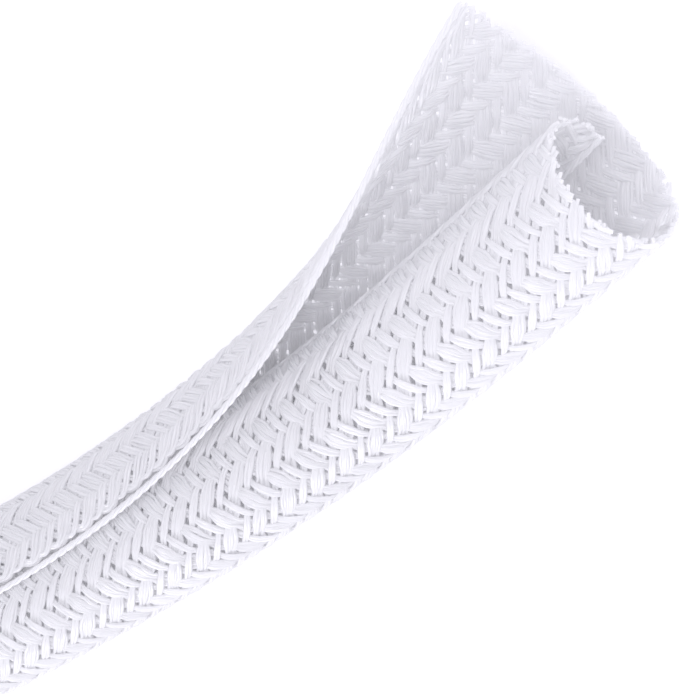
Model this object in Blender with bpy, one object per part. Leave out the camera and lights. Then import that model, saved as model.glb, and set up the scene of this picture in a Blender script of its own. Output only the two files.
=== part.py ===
"""Split braided cable sleeve, one foot of half-inch stock lying on a level floor.

The sleeve is a flat braid that has been heat set into a scroll, so that its two long edges lap over
each other and hold a bundle of cables inside. The near part of its length is closed. Its last stretch
bends gently in the plane of the floor, and there the outer edge lets go and spreads into an open flap.

The wall is one solid of even thickness. The braid's own relief is left out.
Units are metres, +Z is up, and the sleeve lies along +X with its open end at +X.
"""

import math

import bmesh
import bpy
import numpy as np
from mathutils import Vector

# The stock.
sleeve_length = 0.305
wall_thickness = 0.0007

# The scroll section. Widths are measured round the middle of the wall from the line that rests on
# the floor: one to the tucked edge, past the right side and over the top, and one to the lapped edge.
tucked_width = 0.0368
lapped_width = 0.0233
resting_flat = 0.0020
floor_radius = 0.0066
layer_gap = 0.00048

# The opened end. The lapped side spreads into a flap there, and the tucked side keeps its loop, whose
# last strip curls in more tightly.
opening_length = 0.086
opening_power = 2.46
opened_loop_radius = 0.0069
opened_flap_radius = 0.0174
curled_width = 0.0098
curled_radius = 0.0050

# The line that the sleeve follows on the floor: straight, a gentle bend to the left, straight.
bend_angle = math.radians(15.0)
bend_length = 0.079
end_straight = 0.0167

# How finely the wall is divided.
section_step = 0.0015
opening_step = 0.0041
closed_step = 0.030

# The finish, a translucent white polyester.
braid_colour = (0.86, 0.86, 0.89, 1.0)
braid_roughness = 0.45


def clear_objects():
    """Remove whatever the scene holds."""
    for item in list(bpy.data.objects):
        bpy.data.objects.remove(item, do_unlink=True)


def openness(along):
    """How far the lapped edge has let go at a distance along the sleeve, from 0 to 1."""
    into_opening = (along - (sleeve_length - opening_length)) / opening_length
    return min(max(into_opening, 0.0), 1.0) ** opening_power


def closed_curvature(arc):
    """Curvature of the closed scroll at an arc length from the floor line, negative when tucked.

    The radius grows by the same amount in every turn, which keeps the layers evenly apart.
    """
    layer_pitch = wall_thickness + layer_gap
    return 1.0 / math.sqrt(floor_radius ** 2 + layer_pitch * arc / math.pi)


def opened_curvature(arc):
    """Curvature at the opened cut, at an arc length from the floor line, negative when tucked.

    The lapped side has spread into a wide flap. The tucked side keeps its loop, and the strip along
    its edge curls in more tightly.
    """
    if arc > 0.0:
        return 1.0 / opened_flap_radius
    if arc > curled_width - tucked_width:
        return 1.0 / opened_loop_radius
    return 1.0 / curled_radius


def section_arm(width, open_share, side):
    """Middle of the wall from the floor line to one edge, as points and headings.

    The side is +1 for the lapped edge and -1 for the tucked edge.
    """
    flat = resting_flat / 2
    count = max(2, math.ceil((width - flat) / section_step))
    step = (width - flat) / count
    place = Vector((side * flat, 0.0))
    heading = 0.0
    points = [(place.copy(), heading)]
    for number in range(count):
        arc = side * (flat + (number + 0.5) * step)
        closed = closed_curvature(arc)
        curvature = closed + (opened_curvature(arc) - closed) * open_share
        middle = heading + curvature * step / 2
        place += step * Vector((side * math.cos(middle), math.sin(middle)))
        heading += curvature * step
        points.append((place.copy(), heading))
    return points


def section_outline(along):
    """Closed outline of the wall's section: its outer face and then its inner face."""
    share = openness(along)
    lapped = section_arm(lapped_width, share, 1)
    tucked = section_arm(tucked_width, share, -1)
    offset = wall_thickness / 2
    outer = []
    inner = []
    for side, arm in ((-1, reversed(tucked)), (1, lapped)):
        for place, heading in arm:
            outward = Vector((side * math.sin(heading), -math.cos(heading)))
            middle = place + Vector((0.0, offset))
            outer.append(middle + outward * offset)
            inner.append(middle - outward * offset)
    return outer + inner[::-1]


def station_distances():
    """Distances along the sleeve at which its section is drawn."""
    changing = max(opening_length, bend_length + end_straight)
    first_change = sleeve_length - changing
    closed_count = max(1, math.ceil(first_change / closed_step))
    changing_count = math.ceil(changing / opening_step)
    closed = np.linspace(0.0, first_change, closed_count + 1)
    opened = np.linspace(first_change, sleeve_length, changing_count + 1)
    return closed.tolist()[:-1] + opened.tolist()


def floor_line(along):
    """Point and heading of the resting line at a distance along the sleeve."""
    bend_start = sleeve_length - end_straight - bend_length
    bend_radius = bend_length / bend_angle
    into_bend = min(max(along - bend_start, 0.0), bend_length)
    past_bend = max(along - bend_start - bend_length, 0.0)
    heading = into_bend / bend_radius
    place = Vector((min(along, bend_start), 0.0))
    place += bend_radius * Vector((math.sin(heading), 1.0 - math.cos(heading)))
    place += past_bend * Vector((math.cos(heading), math.sin(heading)))
    return place, heading


def station_ring(model, along):
    """Add one section of the wall to the mesh, square to the sleeve's line."""
    place, heading = floor_line(along)
    left = Vector((-math.sin(heading), math.cos(heading)))
    ring = []
    for point in section_outline(along):
        spot = place + left * point.x
        ring.append(model.verts.new((spot.x, spot.y, point.y)))
    return ring


def close_end(model, ring):
    """Close one cut end of the wall with a face between each pair of facing steps."""
    half = len(ring) // 2
    for number in range(half - 1):
        model.faces.new((ring[number], ring[number + 1], ring[-2 - number], ring[-1 - number]))


def braid_finish():
    """Translucent white polyester braid."""
    finish = bpy.data.materials.new("polyester_braid")
    finish.use_nodes = True
    shader = finish.node_tree.nodes["Principled BSDF"]
    shader.inputs["Base Color"].default_value = braid_colour
    shader.inputs["Roughness"].default_value = braid_roughness
    shader.inputs["Metallic"].default_value = 0.0
    return finish


def build_wall():
    """The sleeve's wall, one closed shell swept along the floor line."""
    model = bmesh.new()
    rings = [station_ring(model, along) for along in station_distances()]
    for first, second in zip(rings, rings[1:]):
        for number, corner in enumerate(first):
            model.faces.new((corner, first[number - 1], second[number - 1], second[number]))
    close_end(model, rings[0])
    close_end(model, rings[-1])
    bmesh.ops.recalc_face_normals(model, faces=model.faces)
    mesh = bpy.data.meshes.new("braided_sleeve")
    model.to_mesh(mesh)
    model.free()
    mesh.shade_smooth()
    mesh.set_sharp_from_angle(angle=math.radians(40.0))
    mesh.materials.append(braid_finish())
    return mesh


def centre_over_origin(item):
    """Set the piece down with the middle of its box over the origin."""
    corners = np.array([tuple(vertex.co) for vertex in item.data.vertices])
    middle = (corners.min(axis=0) + corners.max(axis=0)) / 2
    item.location = (-middle[0], -middle[1], -corners[:, 2].min())


def main():
    """Build the sleeve."""
    clear_objects()
    sleeve = bpy.data.objects.new("braided_sleeve", build_wall())
    bpy.context.scene.collection.objects.link(sleeve)
    centre_over_origin(sleeve)


main()
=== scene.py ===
"""Looks of a split braided cable sleeve: every filament of its braid, in milky white polyester.

The sleeve's wall is a flat braid of alternate fat and thin yarns, laid two over and two under. Each
yarn runs across the braid, turns back at its edge and runs across again, which makes the two long
selvedges, and a thin twisted cord runs along each of them. Every filament is a round tube that
follows the middle of the sleeve's wall. Lengths are in metres.
"""

import logging
import math
from dataclasses import dataclass
from enum import Enum
from typing import Any

import bpy
import numpy as np
from mathutils import Matrix, Vector


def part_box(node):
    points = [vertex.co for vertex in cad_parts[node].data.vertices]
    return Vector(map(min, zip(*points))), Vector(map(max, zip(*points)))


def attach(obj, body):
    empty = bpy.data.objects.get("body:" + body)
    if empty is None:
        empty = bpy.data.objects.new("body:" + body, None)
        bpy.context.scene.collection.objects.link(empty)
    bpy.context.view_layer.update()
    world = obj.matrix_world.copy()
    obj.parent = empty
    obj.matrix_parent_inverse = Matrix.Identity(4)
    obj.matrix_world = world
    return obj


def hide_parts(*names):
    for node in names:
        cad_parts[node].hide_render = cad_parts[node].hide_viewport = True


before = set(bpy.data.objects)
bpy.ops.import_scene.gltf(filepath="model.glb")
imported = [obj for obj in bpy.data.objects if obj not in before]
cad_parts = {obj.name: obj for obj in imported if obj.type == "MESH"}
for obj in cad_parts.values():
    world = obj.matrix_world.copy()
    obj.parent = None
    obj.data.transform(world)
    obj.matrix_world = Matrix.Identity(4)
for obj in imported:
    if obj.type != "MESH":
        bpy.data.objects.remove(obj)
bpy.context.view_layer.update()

logging.basicConfig(level=logging.INFO, format="%(message)s")
log = logging.getLogger("sleeve")

MM = 0.001
TURN = 2 * math.pi
NODE = "braided_sleeve"
BODY = "root"
ROOM_TONE = "F1EFFF"

# Sockets that share a name with others on their node, by number: the colours and the result of a
# mix of colours, and the shaders of a mix of shaders.
FIRST_COLOUR = 6
SECOND_COLOUR = 7
MIXED_COLOUR = 2
FIRST_SHADER = 1
SECOND_SHADER = 2

# A filament: its distances along the sleeve, less what it sticks out of the cut, and its points.
Line = tuple[np.ndarray, np.ndarray]


def linear_colour(hex_colour: str) -> tuple[float, float, float, float]:
    """Turn an sRGB hex colour into linear red, green, blue and alpha.

    Args:
        hex_colour: Six hex digits, such as "F4F4FA".

    Returns:
        The linear colour, fully opaque.
    """
    channels = [int(hex_colour[place:place + 2], 16) / 255 for place in (0, 2, 4)]
    linear = [c / 12.92 if c <= 0.04045 else ((c + 0.055) / 1.055) ** 2.4 for c in channels]
    return (linear[0], linear[1], linear[2], 1.0)


def add_node(material: bpy.types.Material, kind: str, settings: dict[str, Any],
             links: dict[str, bpy.types.NodeSocket]) -> bpy.types.Node:
    """Add a node to a material with its settings and links.

    Args:
        material: The material that gets the node.
        kind: The node's type name.
        settings: Values by input name, or by attribute name where no input has it.
        links: Output sockets by the name of the input that each one feeds.

    Returns:
        The new node.
    """
    node = material.node_tree.nodes.new(kind)
    for name, value in settings.items():
        if name in node.inputs:
            node.inputs[name].default_value = value
        else:
            setattr(node, name, value)
    for name, socket in links.items():
        material.node_tree.links.new(socket, node.inputs[name])
    return node


class YarnKind(Enum):
    """The two yarns of the braid, by how many filaments lie side by side in each."""

    FAT = 6
    THIN = 3


@dataclass(frozen=True)
class PolyesterFilament:
    """PET monofilament, melt spun and heat set.

    Melt spinning leaves it smooth, so each filament carries a thin bright line of light. Heat
    setting clouds it to a milky white, a little more in some places than in others, and light still
    passes through it from one layer to the next.
    """

    name: str = "pet_monofilament_melt_spun"
    clear_tone: str = "FCFCFD"
    milky_tone: str = "FEFEFE"
    tone_patch: float = 2.6 * MM
    patch_detail: float = 2.0
    patch_roughness: float = 0.6
    roughness: float = 0.20
    refraction: float = 1.57
    shine: float = 0.9
    glow_through: float = 0.56

    def material(self) -> bpy.types.Material:
        """Make the material.

        Returns:
            A material for every filament of the sleeve.
        """
        finish = bpy.data.materials.new(self.name)
        finish.use_nodes = True
        nodes = finish.node_tree.nodes
        links = finish.node_tree.links
        shader = nodes["Principled BSDF"]
        place = add_node(finish, "ShaderNodeTexCoord", {}, {})
        patch = add_node(
            finish, "ShaderNodeTexNoise",
            {"Scale": 1.0 / self.tone_patch, "Detail": self.patch_detail,
             "Roughness": self.patch_roughness},
            {"Vector": place.outputs["Object"]})
        tone = add_node(
            finish, "ShaderNodeMix",
            {"data_type": "RGBA"}, {"Factor": patch.outputs["Fac"]})
        tone.inputs[FIRST_COLOUR].default_value = linear_colour(self.clear_tone)
        tone.inputs[SECOND_COLOUR].default_value = linear_colour(self.milky_tone)
        links.new(tone.outputs[MIXED_COLOUR], shader.inputs["Base Color"])
        shader.inputs["Roughness"].default_value = self.roughness
        shader.inputs["IOR"].default_value = self.refraction
        shader.inputs["Specular IOR Level"].default_value = self.shine
        glow = add_node(
            finish, "ShaderNodeBsdfTranslucent",
            {}, {"Color": tone.outputs[MIXED_COLOUR]})
        blend = add_node(finish, "ShaderNodeMixShader", {"Fac": self.glow_through}, {})
        links.new(shader.outputs["BSDF"], blend.inputs[FIRST_SHADER])
        links.new(glow.outputs["BSDF"], blend.inputs[SECOND_SHADER])
        links.new(blend.outputs["Shader"], nodes["Material Output"].inputs["Surface"])
        return finish


@dataclass(frozen=True)
class WhitePaper:
    """Matt white paper, rolled out over the studio's floor.

    Its fibres scatter light evenly and leave no shine. A little glow of its own lifts it to the pure
    white of a lit photographer's table.
    """

    name: str = "matt_white_paper"
    tone: str = "FAFAFA"
    roughness: float = 0.9
    shine: float = 0.0
    glow_tone: str = ROOM_TONE
    glow: float = 0.22

    def material(self) -> bpy.types.Material:
        """Make the material.

        Returns:
            A material for the floor.
        """
        paper = bpy.data.materials.new(self.name)
        paper.use_nodes = True
        shader = paper.node_tree.nodes["Principled BSDF"]
        shader.inputs["Base Color"].default_value = linear_colour(self.tone)
        shader.inputs["Roughness"].default_value = self.roughness
        shader.inputs["Specular IOR Level"].default_value = self.shine
        shader.inputs["Emission Color"].default_value = linear_colour(self.glow_tone)
        shader.inputs["Emission Strength"].default_value = self.glow
        return paper


@dataclass(frozen=True)
class ScrollWall:
    """The middle of the sleeve's wall: a scroll section swept along a line on the floor.

    A point on the wall is named by its distance along the sleeve and its distance across the braid
    from the line that rests on the floor, negative towards the tucked edge.
    """

    length: float = 305.0 * MM
    thickness: float = 0.7 * MM
    tucked_width: float = 36.8 * MM
    lapped_width: float = 23.3 * MM
    resting_flat: float = 2.0 * MM
    floor_radius: float = 6.6 * MM
    layer_gap: float = 0.48 * MM
    opening_length: float = 86.0 * MM
    opening_power: float = 2.46
    opened_loop_radius: float = 6.9 * MM
    opened_flap_radius: float = 17.4 * MM
    curled_width: float = 9.8 * MM
    curled_radius: float = 5.0 * MM
    bend_angle: float = math.radians(15.0)
    bend_length: float = 79.0 * MM
    end_straight: float = 16.7 * MM
    across_step: float = 0.1 * MM
    openness_steps: int = 120

    def openness(self, along: np.ndarray) -> np.ndarray:
        """How far the lapped edge has let go at distances along the sleeve, from 0 to 1."""
        into_opening = (along - (self.length - self.opening_length)) / self.opening_length
        return np.clip(into_opening, 0.0, 1.0) ** self.opening_power

    def curvature(self, across: np.ndarray, share: np.ndarray) -> np.ndarray:
        """Curvature of the section at distances across the braid.

        Args:
            across: Distances from the floor line.
            share: How far the section has opened, from 0 to 1.

        Returns:
            One curvature for each pair of distance and share.
        """
        layer_pitch = self.thickness + self.layer_gap
        closed = 1.0 / np.sqrt(self.floor_radius ** 2 + layer_pitch * across / math.pi)
        opened = np.where(across > 0, 1.0 / self.opened_flap_radius, 1.0 / self.opened_loop_radius)
        curl = across < self.curled_width - self.tucked_width
        opened = np.where(curl, 1.0 / self.curled_radius, opened)
        bent = closed + (opened - closed) * share
        return np.where(np.abs(across) < self.resting_flat / 2, 0.0, bent)

    def section_table(self) -> tuple[np.ndarray, np.ndarray, np.ndarray]:
        """Sections from closed to opened, each followed from the floor line out to both edges.

        Returns:
            The distances across, the shares of opening, and a table of the left, up and heading of
            each point.
        """
        tucked = math.ceil(self.tucked_width / self.across_step)
        lapped = math.ceil(self.lapped_width / self.across_step)
        across = np.arange(-tucked, lapped + 1) * self.across_step
        shares = np.linspace(0.0, 1.0, self.openness_steps + 1)
        curvature = self.curvature(across[None, :], shares[:, None])

        def followed(rate: np.ndarray) -> np.ndarray:
            """Sum a rate from the floor line outwards on both sides."""
            step = (rate[:, 1:] + rate[:, :-1]) / 2 * self.across_step
            total = np.concatenate([np.zeros((len(rate), 1)), np.cumsum(step, axis=1)], axis=1)
            return total - total[:, tucked:tucked + 1]

        heading = followed(curvature)
        table = np.stack([followed(np.cos(heading)), followed(np.sin(heading)), heading])
        return across, shares, table

    def floor_line(self, along: np.ndarray) -> tuple[np.ndarray, np.ndarray, np.ndarray]:
        """Follow the line that the sleeve rests on: straight, a gentle bend to the left, straight.

        Args:
            along: Distances along the sleeve.

        Returns:
            How far forward and how far sideways the line has got at each distance, and its heading.
        """
        bend_start = self.length - self.end_straight - self.bend_length
        bend_radius = self.bend_length / self.bend_angle
        into_bend = np.clip(along - bend_start, 0.0, self.bend_length)
        past_bend = np.maximum(along - bend_start - self.bend_length, 0.0)
        heading = into_bend / bend_radius
        forward = np.minimum(along, bend_start) + bend_radius * np.sin(heading)
        sideways = bend_radius * (1.0 - np.cos(heading))
        return (forward + past_bend * np.cos(heading), sideways + past_bend * np.sin(heading),
                heading)


class WallPlacer:
    """Places points of the braid on the scroll wall, in the frame's own place."""

    def __init__(self, wall: ScrollWall, low_corner: Vector, lowest: float) -> None:
        """Work out the sections once.

        Args:
            wall: The wall's sizes.
            low_corner: The lowest corner of the sleeve in the frame.
            lowest: The least height over the floor that a filament's middle may have.
        """
        self.wall = wall
        self.lowest = lowest
        self.across, self.shares, self.table = wall.section_table()
        left, _, heading = self.table[:, 0]
        right_reach = (left + np.sin(heading) * wall.thickness / 2).min()
        self.start = (low_corner.x, low_corner.y - right_reach)

    def place(self, along: np.ndarray, across: np.ndarray, proud: np.ndarray) -> np.ndarray:
        """Points in the frame.

        Args:
            along: Distances along the sleeve.
            across: Distances across the braid.
            proud: Distances outwards from the middle of the wall.

        Returns:
            One row of x, y and z for each point.
        """
        row = self.wall.openness(along) * (len(self.shares) - 1)
        first_row = np.clip(row.astype(int), 0, len(self.shares) - 2)
        row_part = row - first_row
        column = (across - self.across[0]) / self.wall.across_step
        first_column = np.clip(column.astype(int), 0, len(self.across) - 2)
        column_part = column - first_column
        less_open = self.table[:, first_row, first_column] * (1 - column_part)
        less_open += self.table[:, first_row, first_column + 1] * column_part
        more_open = self.table[:, first_row + 1, first_column] * (1 - column_part)
        more_open += self.table[:, first_row + 1, first_column + 1] * column_part
        left, up, heading = less_open + (more_open - less_open) * row_part
        left = left + np.sin(heading) * proud
        up = up - np.cos(heading) * proud + self.wall.thickness / 2
        forward, sideways, turn = self.wall.floor_line(along)
        return np.stack([
            self.start[0] + forward - np.sin(turn) * left,
            self.start[1] + sideways + np.cos(turn) * left,
            np.maximum(up, self.lowest)], axis=1)


@dataclass(frozen=True)
class Stretch:
    """A length of the braid that is made as one piece.

    The stride says how many samples of a filament go into one straight run, and the roundness is
    the bevel resolution of its tube.
    """

    name: str
    start: float
    end: float
    stride: int
    roundness: int


@dataclass(frozen=True)
class CutWave:
    """One wave of the hand-made cut: its middle across the braid, its width and its depth."""

    middle: float
    width: float
    depth: float


@dataclass(frozen=True)
class Braid:
    """The flat braid: its yarns, their two-over-two lay and the filaments in each.

    Crossings lie on a lattice of steps along and across the braid. A yarn rises one step across for
    each step along, turns back at the edge, and falls again.
    """

    wall: ScrollWall

    # The lattice of crossings, where its lay starts, and how many steps run on past the two ends.
    step_along: float = 0.8905 * MM
    step_across: float = 1.15 * MM
    tucked_steps: int = 33
    lapped_steps: int = 21
    first_crossing: float = 1.55
    lay_shift: float = 0.5
    end_margin: int = 24

    # The filaments of a yarn, how far apart they lie and how they gather where the yarn dives. The
    # yarns were pressed flatter in the floor and the flap than in the loop.
    filament: float = 0.35 * MM
    fat_pitch: float = 0.258 * MM
    thin_pitch: float = 0.225 * MM
    loop_gathering: float = 0.46
    flap_gathering: float = 0.20
    flap_spread: float = 0.12
    flap_start: float = -6.5 * MM
    flap_blend: float = 1.5 * MM
    stacking: float = 0.06 * MM

    # The relief of the lay, and how it falls away from the middle of a yarn.
    relief: float = 0.21 * MM
    relief_gain: float = 1.35
    crown_fall: float = 0.30 / MM

    # The turn at the edges in steps, and how the lapped edge lies.
    edge_round: float = 2.2
    edge_reach: float = 0.62
    edge_reach_steps: float = 4.0
    edge_gather: float = 0.66
    edge_stacking: float = 0.08 * MM
    edge_rest: float = 0.42 * MM
    edge_rest_width: float = 3.0 * MM
    edge_flare: float = 2.0

    # The twisted cord along each selvedge.
    cord_plies: int = 3
    cord_radius: float = 0.17 * MM
    cord_twist: float = 3.6 * MM
    cord_inset: float = 0.22 * MM

    # The bow of the rows across the braid.
    bow: float = 0.30
    bow_width: float = 6.0 * MM

    # The waves that yarns and filaments wander in. Each filament has two across its yarn and two
    # outwards, four in all.
    yarn_wander: float = 0.06 * MM
    yarn_waves_mm: tuple[float, float] = (9.0, 15.0)
    filament_waves: int = 4
    filament_waves_mm: tuple[float, float] = (5.0, 11.0)
    wander_across: float = 0.04 * MM
    wander_proud: float = 0.022 * MM

    # The cut end, which frays and isn't quite square.
    fray_length: float = 2.5 * MM
    fray_most: float = 1.5
    fray_across: float = 0.22 * MM
    fray_proud: float = 0.20 * MM
    fray_inwards: float = -0.6
    cut_unevenness: float = 0.25 * MM
    cut_waves: tuple[CutWave, ...] = (
        CutWave(-22.0 * MM, 6.0 * MM, 0.70 * MM),
        CutWave(-4.0 * MM, 6.0 * MM, -0.55 * MM),
        CutWave(12.0 * MM, 8.0 * MM, 0.50 * MM),
        CutWave(23.3 * MM, 2.2 * MM, -0.4 * MM))

    # The samples of a yarn in each step along, and the seed of the first yarn's chance.
    samples: int = 6
    seed: int = 7

    @property
    def carriers(self) -> int:
        """A yarn starts at every second step along, so there are as many yarns as steps across."""
        return self.tucked_steps + self.lapped_steps

    def bowed(self, along: np.ndarray, across: np.ndarray) -> np.ndarray:
        """Distances along the sleeve once the rows across the braid have bowed."""
        return along + self.bow * (np.hypot(across, self.bow_width) - self.bow_width)

    def cut_back(self, across: np.ndarray) -> np.ndarray:
        """How far the hand-made cut falls short of square, below zero where it sticks out.

        Args:
            across: Distances across the braid.

        Returns:
            The sum of the waves in the cut.
        """
        depths = [wave.depth * np.exp(-((across - wave.middle) / wave.width) ** 2)
                  for wave in self.cut_waves]
        return np.sum(depths, axis=0)

    def edge_lie(self, along: np.ndarray, across: np.ndarray) -> np.ndarray:
        """How far the lapped edge lies inwards of the wall.

        Args:
            along: Distances along the sleeve.
            across: Distances across the braid.

        Returns:
            Distances inwards: it rests on the layer below where the sleeve is closed, and flares out
            at the opened end.
        """
        near_edge = np.exp(-((self.wall.lapped_width - across) / self.edge_rest_width) ** 2)
        return self.edge_rest * near_edge * (1.0 - self.edge_flare * self.wall.openness(along))

    def flatness(self, across: np.ndarray) -> np.ndarray:
        """How flat the yarns lie, from 0 in the loop to 1 in the floor and the flap."""
        return 1.0 / (1.0 + np.exp(-(across - self.flap_start) / self.flap_blend))

    def from_edge(self, steps: np.ndarray) -> np.ndarray:
        """Turn a yarn's sharp corner at the edge of the braid into a round one.

        Args:
            steps: Steps from the corner.

        Returns:
            Steps across from the edge, with a round turn that reaches out nearly to the corner.
        """
        reach = self.edge_reach * np.exp(-steps / self.edge_reach_steps)
        return np.hypot(steps, self.edge_round) - reach

    def yarn_kind(self, carrier: int) -> YarnKind:
        """Fat and thin yarns alternate."""
        return YarnKind.FAT if carrier % 2 == 0 else YarnKind.THIN

    def yarn_line(self, carrier: int) -> tuple[np.ndarray, np.ndarray, np.ndarray]:
        """Follow one yarn from end to end of the sleeve.

        Args:
            carrier: The yarn's number round the braider.

        Returns:
            Distances along in steps, distances across in steps from the floor line, and the across
            direction, from 1 on a rising run to -1 on a falling run.
        """
        last = (math.ceil(self.wall.length / self.step_along) + self.end_margin) * self.samples
        along = np.arange(-self.end_margin * self.samples, last) / self.samples
        turn = (along - self.first_crossing - 2 * carrier - self.tucked_steps) % (2 * self.carriers)
        from_tucked = np.minimum(turn, 2 * self.carriers - turn)
        from_lapped = self.carriers - from_tucked
        near_tucked = self.from_edge(from_tucked) - self.tucked_steps
        near_lapped = self.lapped_steps - self.from_edge(from_lapped)
        across = np.where(from_tucked < from_lapped, near_tucked, near_lapped)
        return along, across, np.gradient(across, along)

    def spacing(self, kind: YarnKind, across: np.ndarray, diving: np.ndarray,
                turning: np.ndarray) -> np.ndarray:
        """How far apart the filaments of a yarn lie.

        Args:
            kind: Whether the yarn is fat or thin.
            across: Distances across the braid.
            diving: How far the yarn is on its way through the wall, from 0 to 1.
            turning: How far it has turned at an edge, from 0 to 1.

        Returns:
            Distances from filament to filament: the yarn spreads where it lies flat, and gathers
            where it dives and where it turns.
        """
        flat = self.flatness(across)
        gathering = self.loop_gathering + (self.flap_gathering - self.loop_gathering) * flat
        pitch = self.fat_pitch if kind is YarnKind.FAT else self.thin_pitch
        pitch = pitch * (1.0 + self.flap_spread * flat)
        return pitch * (1.0 - gathering * diving) * (1.0 - self.edge_gather * turning)

    def filament_lines(self, placer: WallPlacer, carrier: int) -> list[Line]:
        """Lines of the filaments of one yarn.

        Args:
            placer: Places points on the wall.
            carrier: The yarn's number.

        Returns:
            One line for each filament.
        """
        chance = np.random.default_rng(self.seed + carrier)
        kind = self.yarn_kind(carrier)
        along, across, direction = self.yarn_line(carrier)
        sideways = direction * self.step_across
        norm = np.hypot(self.step_along, sideways)
        phase = math.pi / 2 * (across - self.lay_shift)
        lay = np.sin(math.pi / 2 * np.clip(self.relief_gain * np.cos(phase), -1.0, 1.0))
        lift = lay * direction
        diving = 1.0 - np.abs(np.cos(phase))
        turning = 1.0 - direction ** 2
        pitch = self.spacing(kind, across * self.step_across, diving, turning)
        stack = self.stacking * diving + self.edge_stacking * turning
        run = along * norm.mean()
        yarn_length = chance.uniform(*self.yarn_waves_mm) * MM
        yarn_start = chance.uniform(0.0, TURN)
        yarn_drift = self.yarn_wander * np.sin(TURN * run / yarn_length + yarn_start)
        lines = []
        for number in range(kind.value):
            slot = number - (kind.value - 1) / 2
            starts = chance.uniform(0.0, TURN, self.filament_waves)
            sizes = chance.uniform(*self.filament_waves_mm, self.filament_waves) * MM
            swing = [np.sin(TURN * run / size + start) for size, start in zip(sizes, starts)]
            drift = yarn_drift + self.wander_across * (swing[0] + swing[1])
            heave = self.wander_proud * (swing[2] + swing[3])
            from_middle = slot * pitch
            spread = from_middle + drift
            row = along * self.step_along - sideways / norm * spread
            column = across * self.step_across + self.step_along / norm * spread
            proud = (self.relief - self.crown_fall * from_middle ** 2) * lift + heave
            proud += stack * (1 if number % 2 == 0 else -1)
            bowed = self.bowed(row, column)
            proud -= self.edge_lie(bowed, column)
            from_cut = (self.wall.length - bowed) / self.fray_length
            loose = np.clip(1.0 - from_cut, 0.0, self.fray_most) ** 2
            column = column + loose * chance.uniform(-1.0, 1.0) * self.fray_across
            proud = proud + loose * chance.uniform(self.fray_inwards, 1.0) * self.fray_proud
            column = np.clip(column, placer.across[0], placer.across[-1])
            cut_short = chance.uniform(-1.0, 1.0) * self.cut_unevenness + self.cut_back(column)
            lines.append((bowed + cut_short, placer.place(bowed, column, proud)))
        return lines

    def cord_lines(self, placer: WallPlacer, edge: float) -> list[Line]:
        """Lines of the filaments that twist round each other along one selvedge.

        Args:
            placer: Places points on the wall.
            edge: Distance across of the middle of the cord.

        Returns:
            One line for each filament.
        """
        along = self.yarn_line(0)[0] * self.step_along
        lines = []
        for ply in range(self.cord_plies):
            angle = TURN * (along / self.cord_twist + ply / self.cord_plies)
            column = edge + self.cord_radius * np.cos(angle)
            column = np.clip(column, placer.across[0], placer.across[-1])
            bowed = self.bowed(along, column)
            proud = self.cord_radius * np.sin(angle) - self.edge_lie(bowed, column)
            lines.append((bowed + self.cut_back(column), placer.place(bowed, column, proud)))
        return lines

    def build(self, placer: WallPlacer, stretches: list[Stretch],
              finish: bpy.types.Material) -> list[bpy.types.Object]:
        """Make every stretch of the braid as one object.

        Args:
            placer: Places points on the wall.
            stretches: The stretches to make.
            finish: The filaments' material.

        Returns:
            One object for each stretch.
        """
        curves = [self.empty_curve(stretch) for stretch in stretches]
        lines = []
        for carrier in range(self.carriers):
            lines += self.filament_lines(placer, carrier)
        lines += self.cord_lines(placer, self.wall.lapped_width - self.cord_inset)
        lines += self.cord_lines(placer, self.cord_inset - self.wall.tucked_width)
        for along, points in lines:
            for stretch, curve in zip(stretches, curves):
                self.add_runs(curve, stretch, along, points)
        return [self.finished(curve, stretch, finish) for curve, stretch in zip(curves, stretches)]

    def empty_curve(self, stretch: Stretch) -> bpy.types.Curve:
        """Start the curve of a stretch.

        Args:
            stretch: The stretch that the curve is for.

        Returns:
            A curve with the filament's round section and no points yet.
        """
        curve = bpy.data.curves.new(stretch.name, "CURVE")
        curve.dimensions = "3D"
        curve.bevel_depth = self.filament / 2
        curve.bevel_resolution = stretch.roundness
        curve.use_fill_caps = True
        return curve

    def add_runs(self, curve: bpy.types.Curve, stretch: Stretch, along: np.ndarray,
                 points: np.ndarray) -> None:
        """Add the runs of a filament that lie in a stretch.

        Args:
            curve: The curve that gets the runs.
            stretch: The stretch that they have to lie in.
            along: The filament's distances along the sleeve.
            points: The filament's points.
        """
        middles = (along[:-1] + along[1:]) / 2
        inside = (middles >= stretch.start) & (middles < stretch.end)
        changes = np.flatnonzero(np.diff(np.concatenate([[0], inside.astype(int), [0]])))
        for first, last in zip(changes[::2], changes[1::2]):
            grid_start = math.ceil(first / stretch.stride) * stretch.stride
            grid = np.arange(grid_start, last, stretch.stride)
            kept = np.unique(np.concatenate([[first], grid, [last]]))
            spline = curve.splines.new("POLY")
            spline.points.add(len(kept) - 1)
            rows = np.concatenate([points[kept], np.ones((len(kept), 1))], axis=1)
            spline.points.foreach_set("co", rows.ravel())

    def finished(self, curve: bpy.types.Curve, stretch: Stretch,
                 finish: bpy.types.Material) -> bpy.types.Object:
        """Turn a curve into a mesh piece with its finish.

        Args:
            curve: The filaments of the stretch.
            stretch: The stretch, which names the piece.
            finish: The filaments' material.

        Returns:
            The piece, in the scene.
        """
        source = bpy.data.objects.new(stretch.name + "_line", curve)
        bpy.context.scene.collection.objects.link(source)
        graph = bpy.context.evaluated_depsgraph_get()
        mesh = bpy.data.meshes.new_from_object(source.evaluated_get(graph))
        bpy.data.objects.remove(source, do_unlink=True)
        mesh.name = stretch.name
        mesh.materials.clear()
        mesh.materials.append(finish)
        piece = bpy.data.objects.new(stretch.name, mesh)
        bpy.context.scene.collection.objects.link(piece)
        return piece


@dataclass(frozen=True)
class SoftLight:
    """A soft light: where it hangs, its level side, its other side and its power in watts."""

    name: str
    place: tuple[float, float, float]
    width: float
    height: float
    power: float


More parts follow.
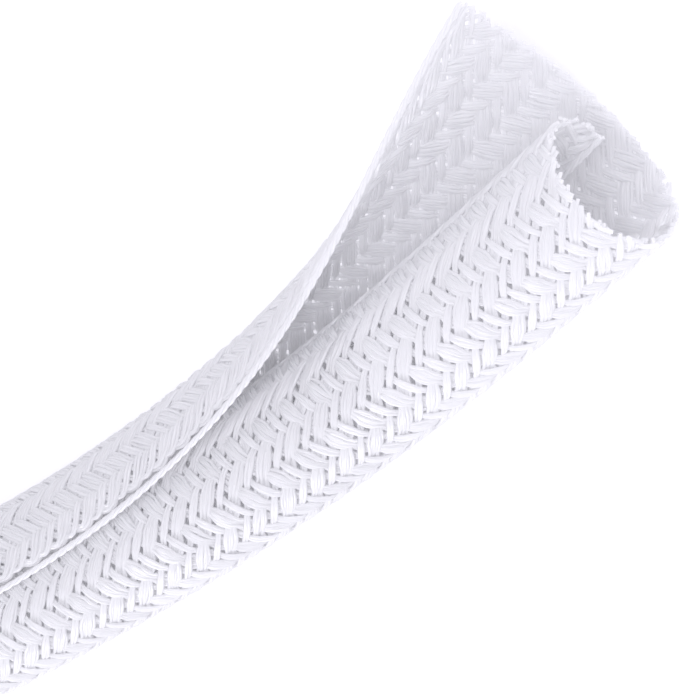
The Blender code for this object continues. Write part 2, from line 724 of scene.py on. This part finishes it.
@dataclass(frozen=True)
class Studio:
    """Pale floor, soft lights and the camera that looks down on the opened end."""

    paper: WhitePaper = WhitePaper()
    floor_size: float = 6.0
    room_tone: str = ROOM_TONE
    room_glow: float = 0.78
    lights: tuple[SoftLight, ...] = (
        SoftLight("key_strip", (-0.32, -0.52, 0.065), 0.50, 0.12, 4.2),
        SoftLight("top_softbox", (0.42, 0.02, 0.76), 0.35, 0.35, 2.7),
        SoftLight("small_softbox", (0.05, -0.35, 0.85), 0.04, 0.04, 0.9))
    light_bounces: int = 14
    high_key: float = 1.78

    # The camera, with the photograph's width in pixels and its scale where the camera aims.
    target: tuple[float, float, float] = (117.76 * MM, -2.28 * MM, 5.35 * MM)
    camera_right: tuple[float, float, float] = (0.77567, -0.36166, -0.51724)
    camera_up: tuple[float, float, float] = (0.34017, 0.92988, -0.14006)
    distance: float = 490.8 * MM
    picture_pixels: float = 679.0
    pixels_per_mm: float = 11.245
    sensor: float = 36.0
    near_clip: float = 0.01

    def floor(self) -> None:
        """Lay a plain pale floor."""
        bpy.ops.mesh.primitive_plane_add(size=self.floor_size, location=(0.0, 0.0, 0.0))
        floor = bpy.context.object
        floor.name = "studio_floor"
        floor.data.materials.append(self.paper.material())

    def hang(self, light: SoftLight) -> None:
        """Hang a soft light that faces the opened end.

        Args:
            light: The light to hang.
        """
        lamp = bpy.data.lights.new(light.name, "AREA")
        lamp.shape = "RECTANGLE"
        lamp.size = light.width
        lamp.size_y = light.height
        lamp.energy = light.power
        lamp.color = linear_colour(self.room_tone)[:3]
        item = bpy.data.objects.new(light.name, lamp)
        item.location = light.place
        aim = Vector(self.target) - Vector(light.place)
        item.rotation_euler = aim.to_track_quat("-Z", "Y").to_euler()
        bpy.context.scene.collection.objects.link(item)

    def sky(self) -> None:
        """Give the room an even glow, white with a breath of lavender."""
        world = bpy.data.worlds.new("studio_room")
        bpy.context.scene.world = world
        world.use_nodes = True
        glow = world.node_tree.nodes["Background"]
        glow.inputs["Color"].default_value = linear_colour(self.room_tone)
        glow.inputs["Strength"].default_value = self.room_glow

    def camera(self) -> None:
        """Stand the camera at the photograph's viewing angle."""
        right = Vector(self.camera_right).normalized()
        up = Vector(self.camera_up).normalized()
        back = right.cross(up)
        picture_width = self.picture_pixels / self.pixels_per_mm * MM
        lens = bpy.data.cameras.new("studio_camera")
        lens.sensor_fit = "HORIZONTAL"
        lens.sensor_width = self.sensor
        lens.lens = self.sensor * self.distance / picture_width
        lens.clip_start = self.near_clip
        item = bpy.data.objects.new("studio_camera", lens)
        turn = Matrix((right, up, back)).transposed().to_4x4()
        item.matrix_world = Matrix.Translation(Vector(self.target) + back * self.distance) @ turn
        bpy.context.scene.collection.objects.link(item)
        bpy.context.scene.camera = item

    def build(self) -> None:
        """Set up the floor, the lights and the camera.

        Light goes back and forth between white yarns many times before it dies away, so it gets more
        bounces than usual. The picture is printed high key, with its darker tones lifted.
        """
        scene = bpy.context.scene
        scene.view_settings.view_transform = "Standard"
        scene.view_settings.gamma = self.high_key
        scene.cycles.max_bounces = self.light_bounces
        scene.cycles.diffuse_bounces = self.light_bounces
        scene.cycles.transmission_bounces = self.light_bounces
        self.camera()
        self.floor()
        self.sky()
        for light in self.lights:
            self.hang(light)


def main() -> None:
    """Build the studio and the braid, and hand every piece to the frame."""
    Studio().build()
    wall = ScrollWall()
    low_corner = Vector(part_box(NODE)[0])
    braid = Braid(wall)
    placer = WallPlacer(wall, low_corner, braid.filament / 2)
    finish = PolyesterFilament().material()
    stretches = [
        Stretch("braid_closed_1", 0.0, 75.0 * MM, stride=6, roundness=0),
        Stretch("braid_closed_2", 75.0 * MM, 150.0 * MM, stride=6, roundness=0),
        Stretch("braid_closed_3", 150.0 * MM, 222.0 * MM, stride=6, roundness=0),
        Stretch("braid_opening_1", 222.0 * MM, 250.0 * MM, stride=3, roundness=0),
        Stretch("braid_opening_2", 250.0 * MM, 278.0 * MM, stride=3, roundness=0),
        Stretch("braid_opening_3", 278.0 * MM, wall.length, stride=3, roundness=1),
    ]
    total = 0
    for piece in braid.build(placer, stretches, finish):
        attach(piece, BODY)
        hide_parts(NODE)
        triangles = sum(len(polygon.vertices) - 2 for polygon in piece.data.polygons)
        total += triangles
        log.info("%s: %d triangles", piece.name, triangles)
    log.info("the whole braid: %d triangles", total)


if __name__ == "__main__":
    main()
